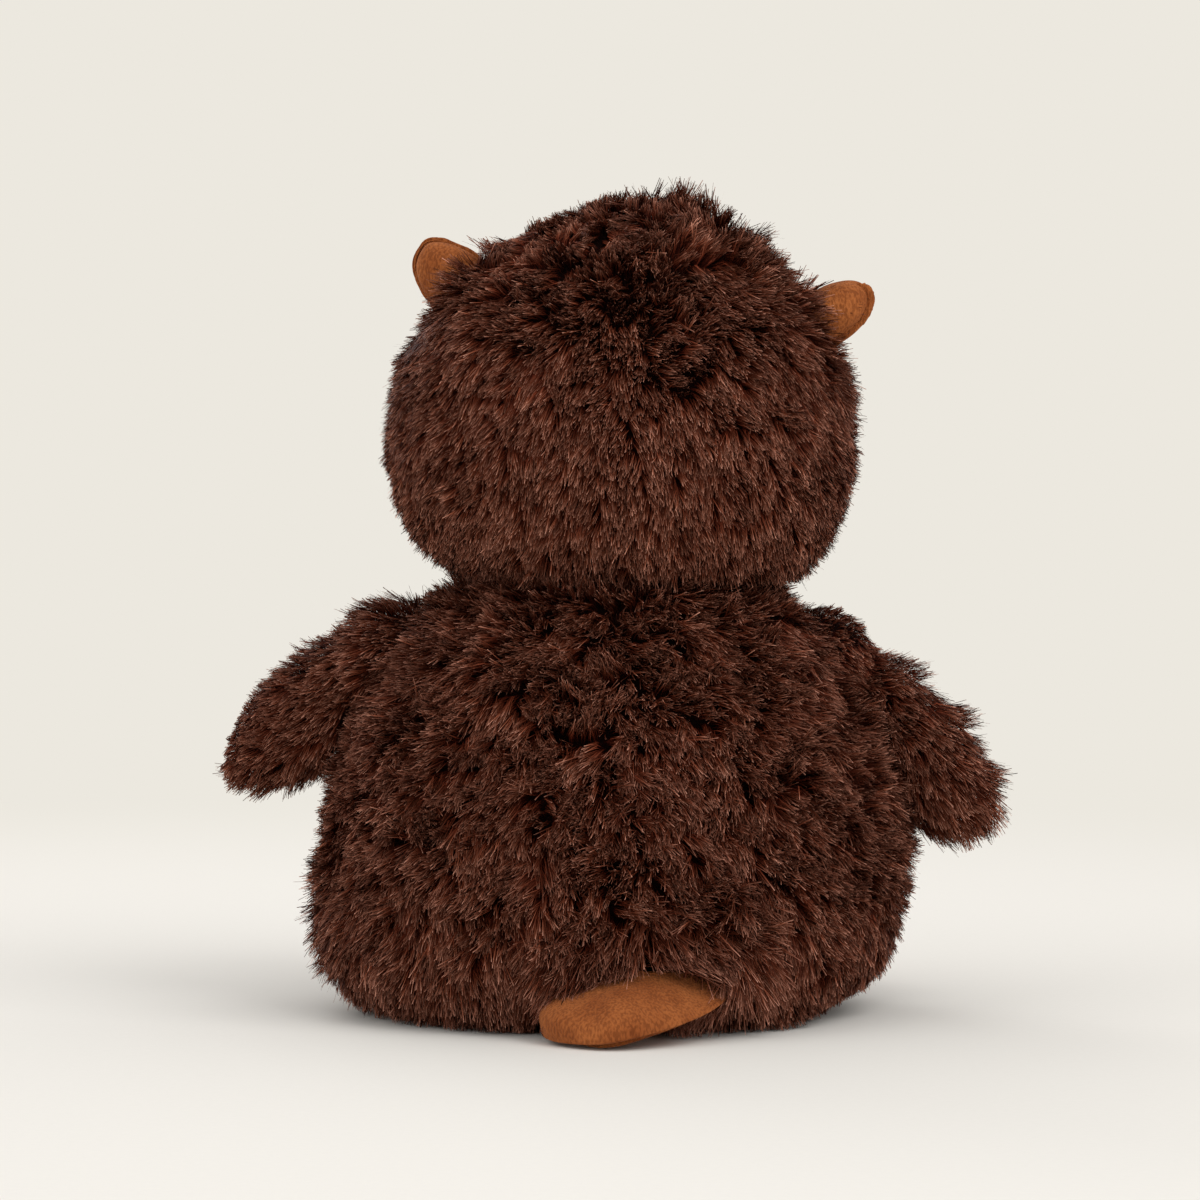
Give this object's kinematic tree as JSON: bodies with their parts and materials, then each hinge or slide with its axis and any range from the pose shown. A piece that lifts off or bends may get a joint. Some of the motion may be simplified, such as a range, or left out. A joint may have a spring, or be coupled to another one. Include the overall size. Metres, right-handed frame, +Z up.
{
  "type": "plush beaver",
  "caption": "Seated stuffed beaver in long dark brown fur, with tan suede ears, soles, muzzle and flat paddle tail; head, arms, feet, ears and tail flex at their seams.",
  "frame": {"origin": "on the ground under the middle of the flat seat", "axes": "+Z up, the beaver looks along -Y, its back and tail are towards +Y, and its own left side is +X"},
  "size_m": [0.2653, 0.2502, 0.2733],
  "materials": {
    "dark_fur": "long clumped pile",
    "tan_suede": "short suede nap",
    "stuffing": "loose fibre fill",
    "pouch_cotton": "plain woven",
    "pellets": "small loose beads",
    "seam_tape": "woven tape",
    "eye_bead": "polished",
    "washer": "moulded",
    "nose_velour": "short velour",
    "tooth_felt": "pressed felt"
  },
  "bodies": {
    "torso": {"torso_back_left_panel": "dark_fur", "torso_back_right_panel": "dark_fur", "torso_belly_panel": "dark_fur", "torso_seat_panel": "dark_fur", "torso_stuffing": "stuffing", "pouch_upper_cloth": "pouch_cotton", "pouch_lower_cloth": "pouch_cotton", "pouch_pellets": "pellets"},
    "neck_tape": {"neck_seam_tape": "seam_tape"},
    "neck_fill": {"neck_wad": "stuffing"},
    "head": {"head_back_panel": "dark_fur", "head_face_panel": "dark_fur", "head_stuffing": "stuffing", "muzzle_cover": "tan_suede", "muzzle_stuffing": "stuffing", "nose": "nose_velour", "left_tooth": "tooth_felt", "right_tooth": "tooth_felt", "left_eye": "eye_bead", "right_eye": "eye_bead", "left_eye_washer": "washer", "right_eye_washer": "washer"},
    "left_ear": {"left_ear_back": "tan_suede", "left_ear_front": "tan_suede"},
    "right_ear": {"right_ear_back": "tan_suede", "right_ear_front": "tan_suede"},
    "left_shoulder": {"left_shoulder_wad": "stuffing"},
    "left_arm": {"left_arm_back_panel": "dark_fur", "left_arm_front_panel": "dark_fur", "left_arm_stuffing": "stuffing"},
    "right_shoulder": {"right_shoulder_wad": "stuffing"},
    "right_arm": {"right_arm_back_panel": "dark_fur", "right_arm_front_panel": "dark_fur", "right_arm_stuffing": "stuffing"},
    "left_foot": {"left_foot_fur": "dark_fur", "left_foot_sole": "tan_suede", "left_foot_stuffing": "stuffing"},
    "right_foot": {"right_foot_fur": "dark_fur", "right_foot_sole": "tan_suede", "right_foot_stuffing": "stuffing"},
    "tail": {"tail_top_panel": "tan_suede", "tail_under_panel": "tan_suede", "tail_stuffing": "stuffing"}
  },
  "joints": [
    {"name": "head_turn", "type": "hinge", "parent": "torso", "child": "neck_tape", "pos_m": [0.002, 0, 0.145], "axis": [0, 0, 1], "range_deg": [-20, 20], "stiffness_Nm_per_rad": 1},
    {"name": "head_tilt", "type": "hinge", "parent": "neck_tape", "child": "neck_fill", "pos_m": [0.002, 0, 0.145], "axis": [0, 1, 0], "range_deg": [-5, 5], "stiffness_Nm_per_rad": 2},
    {"name": "head_nod", "type": "hinge", "parent": "neck_fill", "child": "head", "pos_m": [0.002, 0, 0.145], "axis": [1, 0, 0], "range_deg": [-5, 5], "stiffness_Nm_per_rad": 2},
    {"name": "left_ear_fold", "type": "hinge", "parent": "head", "child": "left_ear", "pos_m": [0.05298, -0.00134, 0.2426], "axis": [0.5846, -0.0614, -0.809], "range_deg": [-15, 15], "stiffness_Nm_per_rad": 0.02},
    {"name": "right_ear_fold", "type": "hinge", "parent": "head", "child": "right_ear", "pos_m": [-0.06722, 0.0113, 0.2299], "axis": [0.4045, -0.0425, 0.9135], "range_deg": [-15, 15], "stiffness_Nm_per_rad": 0.02},
    {"name": "left_arm_swing", "type": "hinge", "parent": "torso", "child": "left_shoulder", "pos_m": [0.07, 0, 0.116], "axis": [0, 0, 1], "range_deg": [-15, 15], "stiffness_Nm_per_rad": 0.1},
    {"name": "left_arm_lift", "type": "hinge", "parent": "left_shoulder", "child": "left_arm", "pos_m": [0.07, 0, 0.116], "axis": [-0.4067, -0.9135, 0], "range_deg": [0, 45], "stiffness_Nm_per_rad": 0.1},
    {"name": "right_arm_swing", "type": "hinge", "parent": "torso", "child": "right_shoulder", "pos_m": [-0.07, 0, 0.116], "axis": [0, 0, 1], "range_deg": [-15, 15], "stiffness_Nm_per_rad": 0.1},
    {"name": "right_arm_lift", "type": "hinge", "parent": "right_shoulder", "child": "right_arm", "pos_m": [-0.07, 0, 0.116], "axis": [-0.0698, 0.9976, 0], "range_deg": [0, 45], "stiffness_Nm_per_rad": 0.1},
    {"name": "left_foot_lift", "type": "hinge", "parent": "torso", "child": "left_foot", "pos_m": [0.044, -0.06644, 0.0214], "axis": [-0.9703, -0.2419, 0], "range_deg": [0, 30], "stiffness_Nm_per_rad": 0.15},
    {"name": "right_foot_lift", "type": "hinge", "parent": "torso", "child": "right_foot", "pos_m": [-0.044, -0.06644, 0.0214], "axis": [-0.9703, 0.2419, 0], "range_deg": [0, 30], "stiffness_Nm_per_rad": 0.15},
    {"name": "tail_lift", "type": "hinge", "parent": "torso", "child": "tail", "pos_m": [-0.014, 0.08292, 0.014], "axis": [0.89, -0.4341, -0.1392], "range_deg": [0, 30], "stiffness_Nm_per_rad": 0.05}
  ]
}
